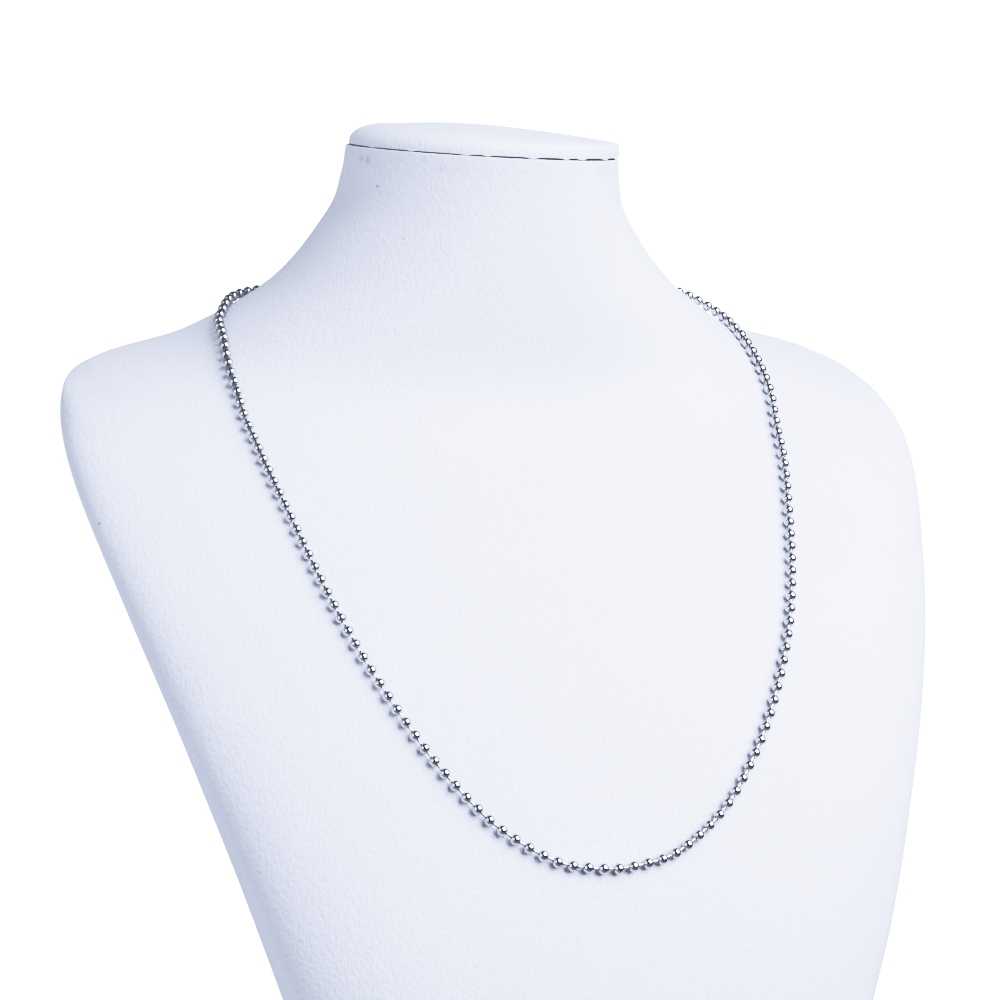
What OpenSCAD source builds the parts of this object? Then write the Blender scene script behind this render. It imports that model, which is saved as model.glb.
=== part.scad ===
// Ball chain necklace, closed at the nape, lying on a padded neck bust.
// The bust faces -Y and stands on its flat base at Z = 0.

/* [Bust] */
// Height from the flat base to the seat of the neck cap
bust_h = 226; // [180:1:300]
// Width across the shoulders
bust_w = 195; // [150:1:260]
// Depth from the foot of the chest to the back of the shoulders
bust_d = 152; // [110:1:200]

/* [Neck cap] */
// Thickness of the padded cap at its rim
cap_t = 4.2; // [4.1:0.1:10]
// Rise of the cap's soft middle above its rim
cap_dome = 1.4; // [0:0.1:4]
// Radius of the cap's soft upper edge
cap_edge_r = 2.8; // [1:0.1:2.9]
// Radius of the cap's tucked-in lower edge
cap_tuck_r = 1.2; // [0.4:0.1:1.3]
// Share of the neck's width and depth that the cap covers
cap_cover = 1.0; // [0.8:0.01:1.1]

/* [Ball chain] */
// Outside diameter of one hollow ball
ball_d = 2.4; // [2:0.1:3.2]
// Wall of a hollow ball
ball_wall = 0.25; // [0.15:0.01:0.3]
// Space between one ball and the next
ball_gap = 0.9; // [0.5:0.05:1.4]
// Diameter of the pin between two balls
pin_d = 0.7; // [0.4:0.05:0.8]
// Diameter of the pin's round head, which the next ball holds
pin_head_d = 1.2; // [1.1:0.05:1.3]

/* [Clasp] */
// Wall of the sleeve that holds the two end balls
clasp_wall = 0.35; // [0.25:0.05:0.8]
// Thickness of the sleeve's two end lips
clasp_lip = 0.5; // [0.3:0.05:1]
// Length of the sleeve's straight middle between the two end balls' centres
clasp_reach = 3.6; // [3.2:0.1:6]

/* [Clearances] */
// Play between the pin and the hole that it passes through
pin_play = 0.12; // [0.1:0.01:0.2]
// Play between an end ball and the clasp's bore
clasp_play = 0.15; // [0.1:0.01:0.3]
// Space between the chain and the bust's surface
rest_gap = 0.35; // [0.2:0.05:1]
// Space between the neck and its cap
cap_gap = 0.2; // [0.1:0.05:1]

/* [Hidden] */

// Sections of the bust from the neck's top down to the base.
// level is a share of bust_h, wide a share of half bust_w, and front, mid and
// back are shares of bust_d from the front. square is the power of the rounded
// outline, where 2 is an ellipse. tilt is the rise towards the back and lean
// the rise towards +X, because the neck's top is cut a little askew.
//          level    wide  front    mid   back  square  tilt    lean
sections = [
    [1.0000, 0.321, 0.523, 0.725, 0.890, 2.00, 0.056, -0.043],
    [0.9720, 0.328, 0.528, 0.740, 0.890, 2.10, 0.060, -0.030],
    [0.9360, 0.355, 0.532, 0.760, 0.900, 2.25, 0.072, -0.012],
    [0.8700, 0.480, 0.540, 0.780, 0.935, 2.40, 0.100, 0.000],
    [0.8140, 0.690, 0.550, 0.805, 0.965, 2.60, 0.180, 0.000],
    [0.7820, 0.915, 0.535, 0.785, 0.980, 2.70, 0.230, 0.000],
    [0.7480, 0.995, 0.505, 0.695, 1.000, 2.60, 0.260, 0.000],
    [0.6820, 1.000, 0.425, 0.580, 0.985, 2.45, 0.180, 0.000],
    [0.5600, 0.920, 0.280, 0.430, 0.930, 2.50, 0.140, 0.000],
    [0.4325, 0.820, 0.175, 0.315, 0.860, 2.50, 0.100, 0.000],
    [0.2850, 0.705, 0.090, 0.235, 0.800, 2.50, 0.080, 0.000],
    [0.1425, 0.600, 0.045, 0.205, 0.755, 2.40, 0.040, 0.000],
    [0.0000, 0.545, 0.000, 0.185, 0.730, 2.30, 0.000, 0.000],
];

// Half of the chain's route over the bust, from the middle of the chest to the
// nape. angle turns round the section from the front, row counts down the
// sections above, and lift raises the chain so that the clasp clears the nape.
//       angle   row  lift
route = [
    [0, 9.50, 0],
    [17, 9.47, 0],
    [31, 9.44, 0],
    [49, 9.23, 0],
    [58, 8.93, 0],
    [62.5, 8.61, 0],
    [65.3, 8.24, 0],
    [67.3, 7.88, 0],
    [69, 7.53, 0],
    [70, 7.18, 0],
    [70, 6.84, 0],
    [69.2, 6.50, 0],
    [67.6, 6.08, 0],
    [65.3, 5.65, 0],
    [63, 5.20, 0],
    [62.8, 4.80, 0],
    [64.8, 4.45, 0],
    [70, 4.06, 0],
    [77, 3.77, 0],
    [85.5, 3.66, 0],
    [95, 3.48, 0],
    [115, 3.42, 0],
    [145, 3.38, 0.5],
    [180, 3.36, 1],
];

bust_sides = 64;
steps_per_section = 3;
route_steps = 12;
loop_step = 1.1;
ease_passes = 16;
overcut = 1;
ball_r = ball_d / 2;
hollow_r = ball_r - ball_wall;
pin_r = pin_d / 2;
head_r = pin_head_d / 2;
hole_r = pin_r + pin_play;
pitch_wish = ball_d + ball_gap;
clasp_bore_r = ball_r + clasp_play;
clasp_r = clasp_bore_r + clasp_wall;
clasp_hole_r = hole_r + pin_play;
clasp_half = clasp_reach / 2 + clasp_bore_r + clasp_lip;
last_row = len(sections) - 1;

// Smooth curve through the rows of a table, read at a whole or broken row
function curve(p0, p1, p2, p3, t) =
    0.5 * (2 * p1 + (p2 - p0) * t + (2 * p0 - 5 * p1 + 4 * p2 - p3) * t * t
    + (3 * p1 - p0 - 3 * p2 + p3) * t * t * t);
function section(u) =
    let (i = max(0, min(floor(u), last_row - 1)))
    let (p1 = sections[i], p2 = sections[i + 1])
    let (p0 = i > 0 ? sections[i - 1] : 2 * p1 - p2)
    let (p3 = i + 2 <= last_row ? sections[i + 2] : 2 * p2 - p1)
    curve(p0, p1, p2, p3, u - i);

// A point of a section at an angle from the front, with inset drawing it in
function outline(q, angle, cover = 1, inset = 0) =
    let (half = q[1] * bust_w / 2)
    let (reach = (cos(angle) > 0 ? q[3] - q[2] : q[4] - q[3]) * bust_d)
    let (part = pow(abs(sin(angle)) / half, q[5]) + pow(abs(cos(angle)) / reach, q[5]))
    let (r = pow(part, -1 / q[5]) * cover - inset)
    [r * sin(angle), -r * cos(angle)];
function place(q, flat_point, rise = 0) = [
    flat_point[0],
    (q[3] - 0.5) * bust_d + flat_point[1],
    q[0] * bust_h + q[6] * flat_point[1] + q[7] * flat_point[0] + rise,
];
function skin(u, angle) = let (q = section(u)) place(q, outline(q, angle));

// Outward normal of the bust's surface, from two short steps along it
function surface_normal(u, angle) =
    let (step = 0.01, turn = 0.2)
    let (down = skin(u + step, angle) - skin(u - step, angle))
    let (round_it = skin(u, angle + turn) - skin(u, angle - turn))
    let (n = cross(round_it, down))
    n / -norm(n);

// Faces of a closed skin made of rings, with flat ends
function ring_faces(rings, sides) = concat(
    [[for (j = [sides - 1:-1:0]) j]],
    [for (i = [0:rings - 2], j = [0:sides - 1])
        let (k = (j + 1) % sides)
        [i * sides + j, (i + 1) * sides + k, (i + 1) * sides + j]],
    [for (i = [0:rings - 2], j = [0:sides - 1])
        let (k = (j + 1) % sides)
        [i * sides + j, i * sides + k, (i + 1) * sides + k]],
    [[for (j = [0:sides - 1]) (rings - 1) * sides + j]]
);
module ring_skin(rings) {
    sides = len(rings[0]);
    points = [for (ring = rings, p = ring) p];
    polyhedron(points, ring_faces(len(rings), sides), convexity = 6);
}

// The chain's centre line, raised off the surface by the ball and its gap
route_last = len(route) - 1;
function route_row(i) =
    i < 0 ? [-route[1][0], route[1][1], route[1][2]]
    : i > route_last ? [360 - route[route_last - 1][0], route[route_last - 1][1], route[route_last - 1][2]]
    : route[i];
function route_at(t) =
    let (i = max(0, min(floor(t), route_last - 1)))
    curve(route_row(i - 1), route_row(i), route_row(i + 1), route_row(i + 2), t - i);
function route_point(t) =
    let (r = route_at(t))
    let (off = ball_r + rest_gap + r[2] * (clasp_r - ball_r))
    skin(r[1], r[0]) + surface_normal(r[1], r[0]) * off;
half_line = [for (i = [0:route_last * route_steps]) route_point(i / route_steps)];
half_count = len(half_line) - 1;

// The whole loop starts at the nape, comes down one side and goes up the other
raw_loop = concat(
    [for (i = [half_count:-1:0]) [-half_line[i][0], half_line[i][1], half_line[i][2]]],
    [for (i = [1:half_count]) half_line[i]]
);
function lengths(line) = [
    for (i = 0, s = 0; i < len(line);
        s = s + (i < len(line) - 1 ? norm(line[i + 1] - line[i]) : 0), i = i + 1) s
];
function by_length(line) =
    let (s = lengths(line))
    [for (axis = [0:2]) [for (i = [0:len(line) - 1]) [s[i], line[i][axis]]]];
function read_line(tables, s) = [for (axis = [0:2]) lookup(s, tables[axis])];

// A taut chain rounds off the bends of the surface under it
function eased(ring, passes) =
    passes == 0 ? ring
    : let (n = len(ring))
      eased([for (i = [0:n - 1]) (ring[(i + n - 1) % n] + 2 * ring[i] + ring[(i + 1) % n]) / 4],
            passes - 1);
raw_lengths = lengths(raw_loop);
raw_total = raw_lengths[len(raw_loop) - 1];
raw_tables = by_length(raw_loop);
ring_count = round(raw_total / loop_step);
even_ring = [for (i = [0:ring_count - 1]) read_line(raw_tables, raw_total * i / ring_count)];
eased_ring = eased(even_ring, ease_passes);
loop_line = concat(eased_ring, [eased_ring[0]]);
loop_length = lengths(loop_line)[ring_count];
loop_tables = by_length(loop_line);

// The balls take up the loop evenly, and the two end balls sit in the clasp
ball_count = round((loop_length - clasp_reach) / pitch_wish) + 1;
pitch = (loop_length - clasp_reach) / (ball_count - 1);
ball_at = [for (i = [0:ball_count - 1]) read_line(loop_tables, clasp_reach / 2 + i * pitch)];

// Turns +Z to point along a direction
module aim(direction) {
    tilt = acos(direction[2] / norm(direction));
    turn = atan2(direction[1], direction[0]);
    rotate([0, tilt, turn]) children();
}

// One hollow ball, open towards the ball before it
module hollow_ball(at, before) {
    translate(at) aim(before - at) difference() {
        sphere(r = ball_r, $fn = 32);
        sphere(r = hollow_r, $fn = 32);
        cylinder(r = hole_r, h = ball_r + overcut, $fn = 24);
    }
}

// The pin from one ball to the next, with the head that the next ball holds
module ball_pin(at, next) {
    reach = norm(next - at) - (hollow_r - head_r - pin_play);
    translate(at) aim(next - at) {
        translate([0, 0, hollow_r]) cylinder(r = pin_r, h = reach - hollow_r, $fn = 24);
        translate([0, 0, reach]) sphere(r = head_r, $fn = 24);
    }
}

module bust_body() {
    color("white")
        ring_skin([
            for (i = [0:last_row * steps_per_section])
                [for (j = [0:bust_sides - 1]) skin(i / steps_per_section, j * 360 / bust_sides)]
        ]);
}

module neck_cap() {
    seat = sections[0];
    edge_turn = 30;
    crown_rings = 3;
    neck_half = seat[1] * bust_w / 2 * cap_cover;
    crown_reach = neck_half - cap_edge_r;
    profile = concat(
        [for (k = [crown_rings:-1:1])
            let (in = k / (crown_rings + 1))
            [cap_edge_r + crown_reach * in, cap_t + cap_dome * (1 - pow(1 - in, 2))]],
        [for (a = [90:-edge_turn:0]) [cap_edge_r * (1 - cos(a)), cap_t - cap_edge_r * (1 - sin(a))]],
        [for (a = [0:edge_turn:90]) [cap_tuck_r * (1 - cos(a)), cap_tuck_r * (1 - sin(a))]]
    );
    color("white")
        ring_skin([
            for (step = profile)
                [for (j = [0:bust_sides - 1])
                    place(seat, outline(seat, j * 360 / bust_sides, cap_cover, step[0]), cap_gap + step[1])]
        ]);
}

module ball_chain() {
    color("silver")
        for (i = [0:ball_count - 1]) {
            hollow_ball(ball_at[i], i > 0 ? ball_at[i - 1] : ball_at[ball_count - 1]);
            if (i < ball_count - 1) ball_pin(ball_at[i], ball_at[i + 1]);
        }
}

module chain_clasp() {
    first = ball_at[0];
    last = ball_at[ball_count - 1];
    color("silver")
        translate((first + last) / 2) aim(last - first)
            difference() {
                cylinder(r = clasp_r, h = clasp_half * 2, center = true, $fn = 48);
                cylinder(r = clasp_bore_r, h = (clasp_half - clasp_lip) * 2, center = true, $fn = 48);
                cylinder(r = clasp_hole_r, h = (clasp_half + overcut) * 2, center = true, $fn = 32);
            }
}

bust_body();
neck_cap();
ball_chain();
chain_clasp();
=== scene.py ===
"""Ball chain necklace, closed at the nape, lying on a leatherette neck bust.

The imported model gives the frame, and each mesh here stands where its solid does.
Lengths are in metres. The sections and the chain's route repeat the part's tables.
"""
import math

import bpy
import numpy as np
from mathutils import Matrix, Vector, noise
from mathutils.bvhtree import BVHTree


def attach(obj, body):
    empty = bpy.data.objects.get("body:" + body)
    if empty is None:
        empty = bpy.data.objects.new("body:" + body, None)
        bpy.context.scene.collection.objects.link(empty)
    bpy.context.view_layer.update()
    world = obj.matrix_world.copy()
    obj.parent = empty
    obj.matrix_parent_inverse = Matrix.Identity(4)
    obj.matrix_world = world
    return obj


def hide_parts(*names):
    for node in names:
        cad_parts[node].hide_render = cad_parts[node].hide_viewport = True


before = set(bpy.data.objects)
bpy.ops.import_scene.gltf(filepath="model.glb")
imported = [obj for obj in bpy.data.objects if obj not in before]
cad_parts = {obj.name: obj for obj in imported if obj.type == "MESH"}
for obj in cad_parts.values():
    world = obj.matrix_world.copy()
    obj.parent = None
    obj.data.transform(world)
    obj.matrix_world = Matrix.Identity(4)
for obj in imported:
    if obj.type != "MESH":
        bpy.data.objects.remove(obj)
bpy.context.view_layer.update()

MM = 0.001

# The bust, as in the part
BUST_H = 226 * MM
BUST_W = 195 * MM
BUST_D = 152 * MM
#    level    wide  front    mid   back  square  tilt    lean
SECTIONS = [
    [1.0000, 0.321, 0.523, 0.725, 0.890, 2.00, 0.056, -0.043],
    [0.9720, 0.328, 0.528, 0.740, 0.890, 2.10, 0.060, -0.030],
    [0.9360, 0.355, 0.532, 0.760, 0.900, 2.25, 0.072, -0.012],
    [0.8700, 0.480, 0.540, 0.780, 0.935, 2.40, 0.100, 0.000],
    [0.8140, 0.690, 0.550, 0.805, 0.965, 2.60, 0.180, 0.000],
    [0.7820, 0.915, 0.535, 0.785, 0.980, 2.70, 0.230, 0.000],
    [0.7480, 0.995, 0.505, 0.695, 1.000, 2.60, 0.260, 0.000],
    [0.6820, 1.000, 0.425, 0.580, 0.985, 2.45, 0.180, 0.000],
    [0.5600, 0.920, 0.280, 0.430, 0.930, 2.50, 0.140, 0.000],
    [0.4325, 0.820, 0.175, 0.315, 0.860, 2.50, 0.100, 0.000],
    [0.2850, 0.705, 0.090, 0.235, 0.800, 2.50, 0.080, 0.000],
    [0.1425, 0.600, 0.045, 0.205, 0.755, 2.40, 0.040, 0.000],
    [0.0000, 0.545, 0.000, 0.185, 0.730, 2.30, 0.000, 0.000],
]
# Half of the chain's route, from the middle of the chest to the nape
#    angle   row  lift
ROUTE = [
    [0, 9.50, 0],
    [17, 9.47, 0],
    [31, 9.44, 0],
    [49, 9.23, 0],
    [58, 8.93, 0],
    [62.5, 8.61, 0],
    [65.3, 8.24, 0],
    [67.3, 7.88, 0],
    [69, 7.53, 0],
    [70, 7.18, 0],
    [70, 6.84, 0],
    [69.2, 6.50, 0],
    [67.6, 6.08, 0],
    [65.3, 5.65, 0],
    [63, 5.20, 0],
    [62.8, 4.80, 0],
    [64.8, 4.45, 0],
    [70, 4.06, 0],
    [77, 3.77, 0],
    [85.5, 3.66, 0],
    [95, 3.48, 0],
    [115, 3.42, 0],
    [145, 3.38, 0.5],
    [180, 3.36, 1],
]
ROUTE_STEPS = 12
LOOP_STEP = 1.1 * MM
EASE_PASSES = 16

# The chain and its clasp, as in the part
BALL_R = 1.2 * MM
BALL_GAP = 0.9 * MM
PIN_R = 0.35 * MM
HOLE_R = 0.47 * MM
REST_GAP = 0.35 * MM
CLASP_REACH = 3.6 * MM
CLASP_R = 1.7 * MM
CLASP_BORE_R = 1.35 * MM
CLASP_HOLE_R = 0.59 * MM
CLASP_HALF = 3.65 * MM
CLASP_LIP = 0.5 * MM

# The neck cap, as in the part
CAP_T = 4.2 * MM
CAP_DOME = 1.4 * MM
CAP_GAP = 0.2 * MM

# How finely the visual skins are cut
SKIN_SIDES = 288
RINGS_PER_SECTION = 15
EDGE_STEPS = 6
BALL_SIDES = 24
BALL_RINGS = 16
PIN_SIDES = 12


def smooth_rows(rows, first, last, u):
    """Reads a table at whole or broken rows, on the same smooth curve as the part."""
    table = np.vstack([first, rows, last]).astype(float)
    u = np.asarray(u, float)
    i = np.clip(np.floor(u).astype(int), 0, len(rows) - 2)
    t = (u - i)[..., None]
    p0, p1, p2, p3 = table[i], table[i + 1], table[i + 2], table[i + 3]
    square = 2 * p0 - 5 * p1 + 4 * p2 - p3
    cube = 3 * p1 - p0 - 3 * p2 + p3
    return 0.5 * (2 * p1 + (p2 - p0) * t + square * t**2 + cube * t**3)


def section(u):
    rows = np.array(SECTIONS)
    return smooth_rows(rows, 2 * rows[0] - rows[1], 2 * rows[-1] - rows[-2], u)


def skin(u, angle, inset=0.0, rise=0.0, cover=1.0):
    """Points of the bust's surface at rows u and angles from the front, in radians."""
    q = section(u)
    level, wide, front, mid, back, square, tilt, lean = np.moveaxis(q, -1, 0)
    reach = np.where(np.cos(angle) > 0, mid - front, back - mid) * BUST_D
    across = np.abs(np.sin(angle)) / (wide * BUST_W / 2)
    along = np.abs(np.cos(angle)) / reach
    r = (across**square + along**square) ** (-1 / square) * cover - inset
    x = r * np.sin(angle)
    flat_y = -r * np.cos(angle)
    z = level * BUST_H + tilt * flat_y + lean * x + rise
    return np.stack(np.broadcast_arrays(x, (mid - 0.5) * BUST_D + flat_y, z), axis=-1)


def skin_normal(u, angle):
    step, turn = 0.01, math.radians(0.2)
    down = skin(u + step, angle) - skin(u - step, angle)
    across = skin(u, angle + turn) - skin(u, angle - turn)
    n = -np.cross(across, down)
    return n / np.linalg.norm(n, axis=-1, keepdims=True)


def new_piece(name, points, faces):
    mesh = bpy.data.meshes.new(name)
    mesh.from_pydata([tuple(p) for p in points], [], faces)
    mesh.validate()
    mesh.update()
    mesh.polygons.foreach_set("use_smooth", [True] * len(mesh.polygons))
    piece = bpy.data.objects.new(name, mesh)
    bpy.context.scene.collection.objects.link(piece)
    return piece


def closed_skin(name, rings):
    """A closed piece made of equal rings of points, with a fan at each end."""
    count, sides = rings.shape[:2]
    points = np.vstack([rings.reshape(-1, 3), rings[0].mean(0), rings[-1].mean(0)])
    top, bottom = count * sides, count * sides + 1
    faces = []
    for i in range(count - 1):
        this, below = i * sides, (i + 1) * sides
        for j in range(sides):
            k = (j + 1) % sides
            faces.append((this + j, below + j, below + k, this + k))
    for j in range(sides):
        k = (j + 1) % sides
        faces.append((top, j, k))
        faces.append((bottom, (count - 1) * sides + k, (count - 1) * sides + j))
    return new_piece(name, points, faces)


def set_attribute(piece, name, values):
    layer = piece.data.attributes.new(name, "FLOAT", "POINT")
    layer.data.foreach_set("value", np.asarray(values, np.float32))


def waves(points, length, seed):
    """Smooth noise between -1 and 1 whose lumps are about this long."""
    shift = Vector((seed * 7.3, seed * 3.1, seed * 5.7))
    return np.array([noise.noise(Vector(p) / length + shift) for p in points])


# The bust

NECK_EDGE_R = 0.3 * MM
BASE_EDGE_R = 1.6 * MM
HIDDEN_TOP = 6 * MM
BASE_WRAP = 14 * MM
ROW_MARGIN = 0.02


def row_at_depth(depth):
    """The row whose level lies this far below the neck's top."""
    u = np.linspace(0, len(SECTIONS) - 1, 4000)
    fall = BUST_H * (1 - section(u)[:, 0])
    return np.interp(depth, fall, u)


def bust_rings():
    """Rows and insets of the rings: flat top, tight edge, body, soft base edge, flat base."""
    turn = np.linspace(math.pi / 2, 0, EDGE_STEPS)
    top_rows = row_at_depth(NECK_EDGE_R * (1 - np.sin(turn)))
    top_inset = NECK_EDGE_R * (1 - np.cos(turn))
    base_rows = row_at_depth(BUST_H - BASE_EDGE_R * (1 - np.sin(turn[::-1])))
    base_inset = BASE_EDGE_R * (1 - np.cos(turn[::-1]))
    body_count = RINGS_PER_SECTION * (len(SECTIONS) - 1)
    body_rows = np.linspace(top_rows[-1], base_rows[0], body_count)[1:-1]
    last = len(SECTIONS) - 1
    rows = np.concatenate([[0, 0], top_rows, body_rows, base_rows, [last]])
    inset = np.concatenate(
        [[HIDDEN_TOP, 2 * MM], top_inset, 0 * body_rows, base_inset, [BASE_WRAP]]
    )
    return rows, inset


def build_bust():
    rows, inset = bust_rings()
    angle = np.linspace(0, 2 * math.pi, SKIN_SIDES, endpoint=False)
    u, a = np.meshgrid(rows, angle, indexing="ij")
    rings = skin(u, a, inset[:, None])
    flat = rings.reshape(-1, 3)
    on_side = (inset == 0)[:, None] * np.ones(SKIN_SIDES)
    # The cover was stretched by hand, so it lies in long faint waves
    relief = 0.10 * MM * waves(flat, 38 * MM, 1) + 0.035 * MM * waves(flat, 9 * MM, 2)
    depth = np.clip((BUST_H - flat[:, 2]) / (12 * MM), 0, 1)
    relief = relief.reshape(u.shape) * on_side * depth.reshape(u.shape)
    inner_rows = np.clip(u, ROW_MARGIN, len(SECTIONS) - 1 - ROW_MARGIN)
    rings = rings + skin_normal(inner_rows, a) * relief[..., None]
    bust = closed_skin("bust_cover", rings)
    # Painted shade: the neck's top face under the cap is coloured near-black, so the seam between
    # neck and cap looks shaded
    dark = np.clip((inset - 0.4 * MM) / (0.5 * MM), 0, 1) * (rows < 1)
    set_attribute(bust, "seam_painted_shade", np.append(np.repeat(dark, SKIN_SIDES), [1, 0]))
    return bust


# The neck cap

#    angle  width  in degrees: gathers of the cover, where its folds touch the neck
GATHERS = [
    [-71, 2.0],
    [-49, 1.6],
    [-25, 2.2],
    [-16, 1.4],
    [3, 2.4],
    [19, 1.8],
    [28, 2.2],
    [45, 2.6],
    [58, 1.6],
    [83, 2.4],
    [104, 2.0],
    [131, 2.8],
    [152, 2.0],
    [171, 2.6],
    [196, 2.0],
    [222, 2.4],
    [243, 1.8],
    [262, 2.6],
]
CAP_SHIFT = 0.45 * MM
CAP_FIT = 0.99
CAP_FULL = 0.2 * MM
CAP_SLOPE = 0.036
TUCK_RINGS = 8


def gathers(angle):
    """1 where a fold of the cap's cover reaches down to the neck, 0 between the folds."""
    total = np.zeros_like(angle)
    for at, width in GATHERS:
        off = (np.degrees(angle) - at + 180) % 360 - 180
        total += np.exp(-((off / width) ** 2))
    return np.clip(total, 0, 1)


def build_cap():
    angle = np.linspace(0, 2 * math.pi, SKIN_SIDES, endpoint=False)
    side, fore = np.sin(angle), np.cos(angle)
    fold = gathers(angle)
    # The pad is thicker and rounder on -X, and its seam gapes a little on +X
    edge_r = (6.5 - 5.0 * side) * MM
    edge_drop = (2.6 - 1.2 * side + 0.5 * fore) * MM
    under = (0.05 + (0.24 + 0.14 * side) * (1 - fold)) * MM
    tuck_r = (0.12 + (0.22 + 0.08 * side) * (1 - fold)) * MM
    top = CAP_GAP + CAP_T + CAP_FULL
    #   share of the width, inset, rise, and how much of the slope and softness it has
    profile = []
    for share in np.linspace(0.06, 1, 16):
        profile.append((share, edge_r * share, top + CAP_DOME * (1 - share**2), 1))
    for turn in np.linspace(math.pi / 2, 0, 16)[1:]:
        high = math.sin(turn)
        profile.append((1, edge_r * (1 - math.cos(turn)), top - edge_drop * (1 - high), high))
    for turn in np.linspace(0, math.pi / 2, TUCK_RINGS):
        low = under + tuck_r * (1 - math.sin(turn))
        profile.append((1, tuck_r * (1 - math.cos(turn)) - 0.1 * MM * fold, low, 0))
    profile.append((1, 4 * MM, under, 0))
    rings, keep = [], []
    for cover, inset, rise, soft in profile:
        ring = skin(np.zeros_like(angle), angle, inset, rise, cover * CAP_FIT)
        ring[:, 2] -= CAP_SLOPE * ring[:, 0] * soft
        ring[:, 0] += CAP_SHIFT
        rings.append(ring)
        keep.append(soft)
    rings = np.array(rings)
    flat = rings.reshape(-1, 3)
    soft = 0.16 * MM * waves(flat, 16 * MM, 3) + 0.05 * MM * waves(flat, 5 * MM, 4)
    rings[..., 2] += soft.reshape(rings.shape[:2]) * np.array(keep)[:, None]
    cap = closed_skin("cap_cover", rings)
    # Painted shade: the cap's underside is coloured near-black, so the seam between neck and cap
    # looks shaded
    dark = np.zeros(len(profile))
    dark[-3:] = (0.5, 1, 1)
    set_attribute(cap, "seam_painted_shade", np.append(np.repeat(dark, SKIN_SIDES), [0, 1]))
    return cap


# The chain and its clasp

def route_points():
    rows = np.array(ROUTE, float)
    first = rows[1] * [-1, 1, 1]
    last = rows[-2] * [-1, 1, 1] + [360, 0, 0]
    t = np.arange((len(rows) - 1) * ROUTE_STEPS + 1) / ROUTE_STEPS
    route = smooth_rows(rows, first, last, t)
    angle, row = np.radians(route[:, 0]), route[:, 1]
    off = BALL_R + REST_GAP + route[:, 2] * (CLASP_R - BALL_R)
    return skin(row, angle) + skin_normal(row, angle) * off[:, None]


def evened(line, count, start=0.0, step=None):
    """Points at even steps of length along a line."""
    length = np.concatenate([[0], np.cumsum(np.linalg.norm(np.diff(line, axis=0), axis=1))])
    step = length[-1] / count if step is None else step
    at = start + np.arange(count) * step
    return np.stack([np.interp(at, length, line[:, k]) for k in range(3)], axis=1), length[-1]


def ball_places():
    half = route_points()
    loop = np.vstack([half[::-1] * [-1, 1, 1], half[1:]])
    total = evened(loop, 1)[1]
    ring = evened(loop, round(total / LOOP_STEP))[0]
    for _ in range(EASE_PASSES):
        ring = (np.roll(ring, 1, 0) + 2 * ring + np.roll(ring, -1, 0)) / 4
    closed = np.vstack([ring, ring[:1]])
    length = evened(closed, 1)[1]
    count = round((length - CLASP_REACH) / (2 * BALL_R + BALL_GAP)) + 1
    pitch = (length - CLASP_REACH) / (count - 1)
    return evened(closed, count, CLASP_REACH / 2, pitch)[0]


SEAT_GAP = 0.05 * MM
SEAT_REACH = 0.5 * MM
CLASP_BALLS = 5
FREE_BALLS = 12


def seated(balls, bust):
    """The balls drawn in against the stretched cover, apart from those that the clasp lifts."""
    cover = bust.data
    tree = BVHTree.FromPolygons(
        [v.co for v in cover.vertices], [tuple(face.vertices) for face in cover.polygons]
    )
    nearest = np.array([tree.find_nearest(Vector(ball))[0] for ball in balls])
    away = balls - nearest
    gap = np.linalg.norm(away, axis=1) - BALL_R - SEAT_GAP
    order = np.arange(len(balls))
    from_clasp = np.minimum(order, order[::-1])
    shift = np.clip(gap, -SEAT_REACH, SEAT_REACH)
    shift *= np.clip((from_clasp - CLASP_BALLS) / FREE_BALLS, 0, 1)
    for _ in range(2):
        shift = (np.roll(shift, 1) + 2 * shift + np.roll(shift, -1)) / 4
    shift = np.minimum(shift, gap)
    return balls - away / np.linalg.norm(away, axis=1, keepdims=True) * shift[:, None]


def aim(direction):
    """A matrix that turns +Z to point along a direction."""
    return np.array(Vector(direction).to_track_quat("Z", "Y").to_matrix())


def lathe(profile, sides):
    """Points and faces of a profile of (radius, height) turned about Z; a radius of 0 is a tip."""
    points, faces, rows = [], [], []
    for r, z in profile:
        start = len(points)
        if r == 0:
            points.append((0, 0, z))
            rows.append([start] * sides)
            continue
        for j in range(sides):
            turn = 2 * math.pi * j / sides
            points.append((r * math.cos(turn), r * math.sin(turn), z))
        rows.append(list(range(start, start + sides)))
    for low, high in zip(rows, rows[1:]):
        for j in range(sides):
            k = (j + 1) % sides
            corners = [low[j], low[k], high[k], high[j]]
            faces.append(tuple(dict.fromkeys(corners)))
    return np.array(points), faces


def ball_shape():
    """A round ball with a dimple at each pole, where the pins pass through."""
    half = math.asin((HOLE_R + 0.03 * MM) / BALL_R)
    floor = BALL_R * 0.62
    lip = math.cos(half) * BALL_R - 0.05 * MM
    profile = [(0, -floor), (HOLE_R, -floor), (HOLE_R, -lip)]
    for turn in np.linspace(math.pi - half, half, BALL_RINGS):
        profile.append((BALL_R * math.sin(turn), BALL_R * math.cos(turn)))
    profile += [(HOLE_R, lip), (HOLE_R, floor), (0, floor)]
    return lathe(profile, BALL_SIDES)


def pin_shape(length):
    hidden = BALL_R * 0.5
    swell = PIN_R * 1.12
    profile = [
        (0, hidden),
        (swell, hidden),
        (swell, BALL_R * 0.9),
        (PIN_R, BALL_R * 1.02),
        (PIN_R, length - BALL_R * 1.02),
        (swell, length - BALL_R * 0.9),
        (swell, length - hidden),
        (0, length - hidden),
    ]
    return lathe(profile, PIN_SIDES)


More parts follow.
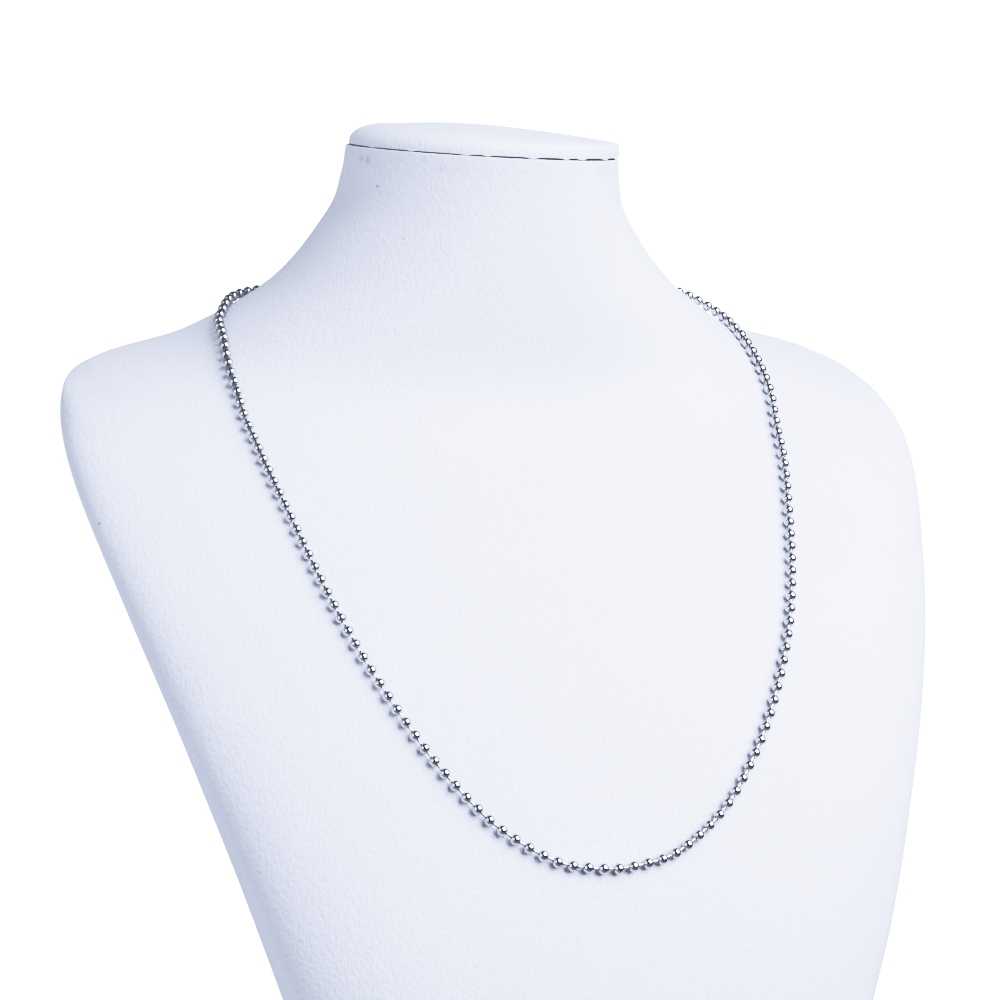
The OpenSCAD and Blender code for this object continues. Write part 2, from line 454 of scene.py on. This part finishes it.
def build_chain(balls):
    before = np.vstack([balls[-1:], balls[:-1]])
    after = np.vstack([balls[1:], balls[:1]])
    ball_points, ball_faces = ball_shape()
    points, faces, total = [], [], 0
    for i, at in enumerate(balls):
        placed = ball_points @ aim(after[i] - before[i]).T + at
        faces += [tuple(v + total for v in f) for f in ball_faces]
        points.append(placed)
        total += len(placed)
        if i == len(balls) - 1:
            break
        reach = after[i] - at
        pin_points, pin_faces = pin_shape(float(np.linalg.norm(reach)))
        placed = pin_points @ aim(reach).T + at
        faces += [tuple(v + total for v in f) for f in pin_faces]
        points.append(placed)
        total += len(placed)
    return new_piece("ball_chain_links", np.vstack(points), faces)


CLASP_SIDES = 48
GROOVE_AT = 2.1 * MM
GROOVE_DEEP = 0.12 * MM
GROOVE_WIDE = 0.18 * MM
GROOVE_FLOOR = 0.06 * MM


def build_clasp(balls):
    first, last = balls[0], balls[-1]
    bevel = 0.35 * MM
    deep = CLASP_R - GROOVE_DEEP
    inner = CLASP_HALF - CLASP_LIP
    outer = [(CLASP_HOLE_R, -CLASP_HALF)]
    for turn in np.linspace(0, math.pi / 2, 5):
        rounded = CLASP_R - bevel * (1 - math.sin(turn))
        outer.append((rounded, bevel * (1 - math.cos(turn)) - CLASP_HALF))
    for z in (-GROOVE_AT, GROOVE_AT):
        outer += [(CLASP_R, z - GROOVE_WIDE), (deep, z - GROOVE_FLOOR)]
        outer += [(deep, z + GROOVE_FLOOR), (CLASP_R, z + GROOVE_WIDE)]
    for turn in np.linspace(math.pi / 2, 0, 5):
        rounded = CLASP_R - bevel * (1 - math.sin(turn))
        outer.append((rounded, CLASP_HALF - bevel * (1 - math.cos(turn))))
    outer += [(CLASP_HOLE_R, CLASP_HALF), (CLASP_HOLE_R, inner), (CLASP_BORE_R, inner)]
    outer += [(CLASP_BORE_R, -inner), (CLASP_HOLE_R, -inner), (CLASP_HOLE_R, -CLASP_HALF)]
    points, faces = lathe(outer, CLASP_SIDES)
    # The last ring is the first one again, so the first takes its faces
    keep = len(points) - CLASP_SIDES
    faces = [tuple(v if v < keep else v - keep for v in f) for f in faces]
    placed = points[:keep] @ aim(last - first).T + (first + last) / 2
    return new_piece("nape_clasp", placed, faces)


# Materials

class Paint:
    """A Principled material whose nodes are added by short calls."""

    def __init__(self, name, **settings):
        self.material = bpy.data.materials.new(name)
        self.material.use_nodes = True
        self.tree = self.material.node_tree
        self.shader = self.tree.nodes["Principled BSDF"]
        for socket, value in settings.items():
            self.shader.inputs[socket.replace("_", " ")].default_value = value
        self.place = self.add("ShaderNodeTexCoord").outputs["Object"]

    def add(self, kind, **settings):
        node = self.tree.nodes.new(kind)
        for key, value in settings.items():
            setattr(node, key, value)
        return node

    def link(self, out, into):
        self.tree.links.new(out, into)

    def noise(self, scale, detail=2.0, roughness=0.5, place=None):
        node = self.add("ShaderNodeTexNoise")
        node.inputs["Scale"].default_value = scale
        node.inputs["Detail"].default_value = detail
        node.inputs["Roughness"].default_value = roughness
        self.link(place or self.place, node.inputs["Vector"])
        return node.outputs["Fac"]

    def math(self, operation, a, b):
        node = self.add("ShaderNodeMath", operation=operation)
        for socket, value in zip(node.inputs, (a, b)):
            if isinstance(value, (int, float)):
                socket.default_value = value
            else:
                self.link(value, socket)
        return node.outputs[0]

    def remap(self, value, low, high, to_low, to_high):
        node = self.add("ShaderNodeMapRange")
        self.link(value, node.inputs["Value"])
        numbers = {"From Min": low, "From Max": high, "To Min": to_low, "To Max": to_high}
        for name, number in numbers.items():
            node.inputs[name].default_value = number
        return node.outputs["Result"]

    def mix(self, amount, a, b):
        node = self.add("ShaderNodeMix", data_type="RGBA")
        self.link(amount, node.inputs[0])
        for socket, value in zip(node.inputs[6:8], (a, b)):
            if isinstance(value, tuple):
                socket.default_value = (*value, 1.0)
            else:
                self.link(value, socket)
        return node.outputs[2]

    def stretched(self, x, y, z):
        node = self.add("ShaderNodeVectorMath", operation="MULTIPLY")
        self.link(self.place, node.inputs[0])
        node.inputs[1].default_value = (x, y, z)
        return node.outputs[0]

    def near(self, point, radius, soft=0.5):
        """1 at a point of the surface, 0 beyond the radius."""
        node = self.add("ShaderNodeVectorMath", operation="DISTANCE")
        self.link(self.place, node.inputs[0])
        node.inputs[1].default_value = tuple(point)
        return self.remap(node.outputs["Value"], radius * (1 - soft), radius, 1.0, 0.0)

    def bump(self, height, distance, strength=1.0):
        node = self.add("ShaderNodeBump")
        node.inputs["Strength"].default_value = strength
        node.inputs["Distance"].default_value = distance
        self.link(height, node.inputs["Height"])
        return node.outputs["Normal"]

    def finish(self, piece, color=None, roughness=None, normal=None):
        for socket, value in (("Base Color", color), ("Roughness", roughness), ("Normal", normal)):
            if value is not None:
                self.link(value, self.shader.inputs[socket])
        piece.data.materials.clear()
        piece.data.materials.append(self.material)


#    row   angle  radius in mm  strength  colour: marks on the cover's surface
SMUDGE = (0.42, 0.36, 0.44)
SPECK = (0.20, 0.22, 0.30)
STAIN = (0.56, 0.54, 0.38)
MARKS = [
    [0.36, -75, 1.3, 0.55, SMUDGE],
    [0.42, -70, 1.4, 0.60, SMUDGE],
    [0.20, -41, 0.9, 0.45, SMUDGE],
    [1.17, -60.3, 0.45, 0.75, SPECK],
    [2.21, -42, 0.35, 0.70, SPECK],
    [0.50, -33, 1.2, 0.28, SPECK],
    [0.52, -27, 1.0, 0.28, SPECK],
    [6.35, 77.4, 0.35, 0.80, SPECK],
    [7.22, -86.6, 0.40, 0.70, SPECK],
    [7.62, -86.5, 0.30, 0.60, SPECK],
    [0.30, 40, 3.2, 0.55, STAIN],
    [0.24, 47, 2.6, 0.65, STAIN],
]


GRAIN_DEPTH = 0.17 * MM
# Marks wider than this are broken up by the grain
FINE_MARK = 0.5


def leatherette(name, piece, marks=()):
    """White grained leatherette: fine pebbles, a faint uneven tint, handling marks and painted
    shade inside the seam.
    """
    paint = Paint(name, Roughness=0.5, Specular_IOR_Level=0.35)
    tint = paint.noise(34, 2.0, 0.6)
    tint = paint.remap(tint, 0.3, 0.7, 0.0, 1.0)
    color = paint.mix(tint, (0.800, 0.822, 0.890), (0.835, 0.852, 0.905))
    break_up = paint.remap(paint.noise(2200, 2.0, 0.7), 0.42, 0.60, 0.0, 1.0)
    for row, angle, radius, strength, mark_color in marks:
        point = skin(np.array(row), math.radians(angle))
        mask = paint.near(point, radius * MM, 0.7)
        if radius > FINE_MARK:
            mask = paint.math("MULTIPLY", mask, break_up)
        color = paint.mix(paint.math("MULTIPLY", mask, strength), color, mark_color)
    # Painted shade in the seam: a near-black blue replaces the cover's colour on the faces hidden
    # between neck and cap
    seam_shade = paint.add("ShaderNodeAttribute", attribute_name="seam_painted_shade").outputs["Fac"]
    color = paint.mix(seam_shade, color, (0.04, 0.05, 0.10))
    fine = paint.noise(1700, 0.0, 0.5, paint.stretched(1.0, 1.0, 0.62))
    grain = paint.math("SUBTRACT", paint.noise(680, 1.0, 0.5), paint.math("MULTIPLY", fine, 0.8))
    normal = paint.bump(grain, GRAIN_DEPTH)
    rough = paint.remap(tint, 0.0, 1.0, 0.46, 0.54)
    paint.finish(piece, color, rough, normal)


def polished_steel(name, piece):
    """Polished steel with the faint haze and hairlines of tumbled balls."""
    paint = Paint(name, Metallic=1.0, Specular_Tint=(0.62, 0.63, 0.66, 1))
    color = paint.mix(paint.noise(900, 2.0, 0.5), (0.58, 0.59, 0.62), (0.66, 0.67, 0.70))
    rough = paint.remap(paint.noise(2600, 3.0, 0.6), 0.3, 0.7, 0.06, 0.13)
    hair = paint.noise(5200, 2.0, 0.6, paint.stretched(1.0, 1.0, 0.25))
    normal = paint.bump(hair, 0.004 * MM, 0.25)
    paint.finish(piece, color, rough, normal)


# The set

LIGHT_AIM = Vector((0.0, -0.03, 0.15))
#    name, direction from the bust, distance, width, height, watts
LIGHTS = [
    ["key_box", (0.50, -0.62, 0.60), 1.00, 1.08, 1.08, 16.5],
    ["side_box", (-0.83, -0.46, 0.28), 1.00, 0.80, 0.80, 1.7],
]
#    name, way that the room glows from, strength
ROOM_GLOWS = [
    ["below", (-0.3, -0.1, -0.95), 0.34],
    ["left", (-0.86, 0.50, -0.10), 0.38],
    ["right", (0.86, 0.50, 0.0), 0.16],
    ["above", (0.0, 0.5, 0.86), 0.10],
    ["front", (0.0, -1.0, 0.0), 0.02],
]
STUDIO_R = 3.0
WALL_BEND = 1.0
WALL_TOP = 4.0
FLOOR_SHADE = 0.5


def build_set():
    """A pale floor that bends up into a round wall, which only the camera sees."""
    profile = [(0, 0.0), (FLOOR_SHADE, 0.0), (STUDIO_R - WALL_BEND, 0.0)]
    for turn in np.linspace(0, math.pi / 2, 13)[1:]:
        profile.append(
            (STUDIO_R - WALL_BEND * (1 - math.sin(turn)), WALL_BEND * (1 - math.cos(turn)))
        )
    profile.append((STUDIO_R, WALL_TOP))
    points, faces = lathe(profile, 96)
    studio = new_piece("studio_floor", points, faces)
    studio.visible_diffuse = False
    studio.visible_glossy = False
    studio.visible_shadow = False
    paint = Paint("pale_floor", Specular_IOR_Level=0.0, Emission_Color=(1, 1, 1, 1))
    color = paint.mix(paint.noise(3.0), (0.90, 0.90, 0.91), (0.93, 0.93, 0.94))
    color = paint.mix(paint.near((0, 0, 0), FLOOR_SHADE), (0, 0, 0), color)
    rough = paint.remap(paint.noise(8.0), 0.3, 0.7, 0.75, 0.85)
    split = paint.add("ShaderNodeSeparateXYZ")
    paint.link(paint.place, split.inputs[0])
    glow = paint.remap(split.outputs["Y"], -0.12, 0.08, 0.9, 2.2)
    paint.link(glow, paint.shader.inputs["Emission Strength"])
    paint.finish(studio, color, rough)


def build_room():
    """Soft glows of a dark room, each strongest from one way."""
    world = bpy.data.worlds.new("room")
    bpy.context.scene.world = world
    world.use_nodes = True
    tree = world.node_tree
    place = tree.nodes.new("ShaderNodeTexCoord").outputs["Generated"]
    total = None
    for name, way, strength in ROOM_GLOWS:
        toward = tree.nodes.new("ShaderNodeVectorMath")
        toward.operation = "DOT_PRODUCT"
        toward.inputs[1].default_value = way
        tree.links.new(place, toward.inputs[0])
        glow = tree.nodes.new("ShaderNodeMapRange")
        glow.label = name
        glow.inputs["To Max"].default_value = strength
        tree.links.new(toward.outputs["Value"], glow.inputs["Value"])
        if total is None:
            total = glow.outputs["Result"]
            continue
        add = tree.nodes.new("ShaderNodeMath")
        tree.links.new(total, add.inputs[0])
        tree.links.new(glow.outputs["Result"], add.inputs[1])
        total = add.outputs[0]
    background = tree.nodes["Background"]
    background.inputs["Color"].default_value = (0.90, 0.93, 1.0, 1)
    tree.links.new(total, background.inputs["Strength"])


def build_lights():
    for name, direction, distance, width, height, watts in LIGHTS:
        data = bpy.data.lights.new(name, "AREA")
        data.shape = "RECTANGLE"
        data.size = width
        data.size_y = height
        data.energy = watts
        lamp = bpy.data.objects.new(name, data)
        lamp.visible_camera = False
        way = Vector(direction).normalized()
        lamp.location = LIGHT_AIM + way * distance
        lamp.rotation_mode = "QUATERNION"
        lamp.rotation_quaternion = way.to_track_quat("Z", "Y")
        bpy.context.scene.collection.objects.link(lamp)


#    light in the scene, then how much red, green and blue is shown for it
TONE = [
    [0.05, 0.05, 0.05, 0.05],
    [0.15, 0.14, 0.14, 0.14],
    [0.30, 0.44, 0.45, 0.49],
    [0.45, 0.65, 0.67, 0.74],
    [0.60, 0.75, 0.77, 0.85],
    [0.75, 0.815, 0.835, 0.90],
    [0.90, 0.855, 0.87, 0.92],
    [1.10, 0.905, 0.91, 0.945],
    [1.60, 1.0, 1.0, 1.0],
]


def set_tone():
    """A bright, cool exposure, whose soft shoulder draws the cover's tones together."""
    view = bpy.context.scene.view_settings
    view.view_transform = "Standard"
    view.use_curve_mapping = True
    mapping = view.curve_mapping
    mapping.clip_max_x = TONE[-1][0]
    for channel in range(3):
        line = mapping.curves[channel]
        line.points[-1].location = (TONE[-1][0], TONE[-1][channel + 1])
        for row in TONE[:-1]:
            line.points.new(row[0], row[channel + 1])
    whole = mapping.curves[3]
    whole.points[-1].location = (TONE[-1][0], TONE[-1][0])
    mapping.update()


CAMERA_AT = (-209.8 * MM, -621.2 * MM, 225.6 * MM)
CAMERA_YAW = math.radians(18.1)
CAMERA_DOWN = math.radians(6.6)
CAMERA_LENS = 108.0


def build_camera():
    data = bpy.data.cameras.new("camera")
    data.lens = CAMERA_LENS
    data.sensor_width = 36.0
    camera = bpy.data.objects.new("camera", data)
    level = math.cos(CAMERA_DOWN)
    ahead, across = math.cos(CAMERA_YAW) * level, math.sin(CAMERA_YAW) * level
    look = Vector((across, ahead, -math.sin(CAMERA_DOWN)))
    camera.location = CAMERA_AT
    camera.rotation_mode = "QUATERNION"
    camera.rotation_quaternion = look.to_track_quat("-Z", "Y")
    bpy.context.scene.collection.objects.link(camera)
    bpy.context.scene.camera = camera


def place_piece(piece, node):
    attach(piece, "root")
    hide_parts(node)


build_camera()
build_set()
build_room()
build_lights()

bust = build_bust()
leatherette("bust_leather", bust, MARKS)
place_piece(bust, "bust_body")

cap = build_cap()
leatherette("cap_leather", cap)
place_piece(cap, "neck_cap")

balls = seated(ball_places(), bust)
chain = build_chain(balls)
polished_steel("chain_steel", chain)
place_piece(chain, "ball_chain")

clasp = build_clasp(balls)
polished_steel("clasp_metal", clasp)
place_piece(clasp, "chain_clasp")

set_tone()
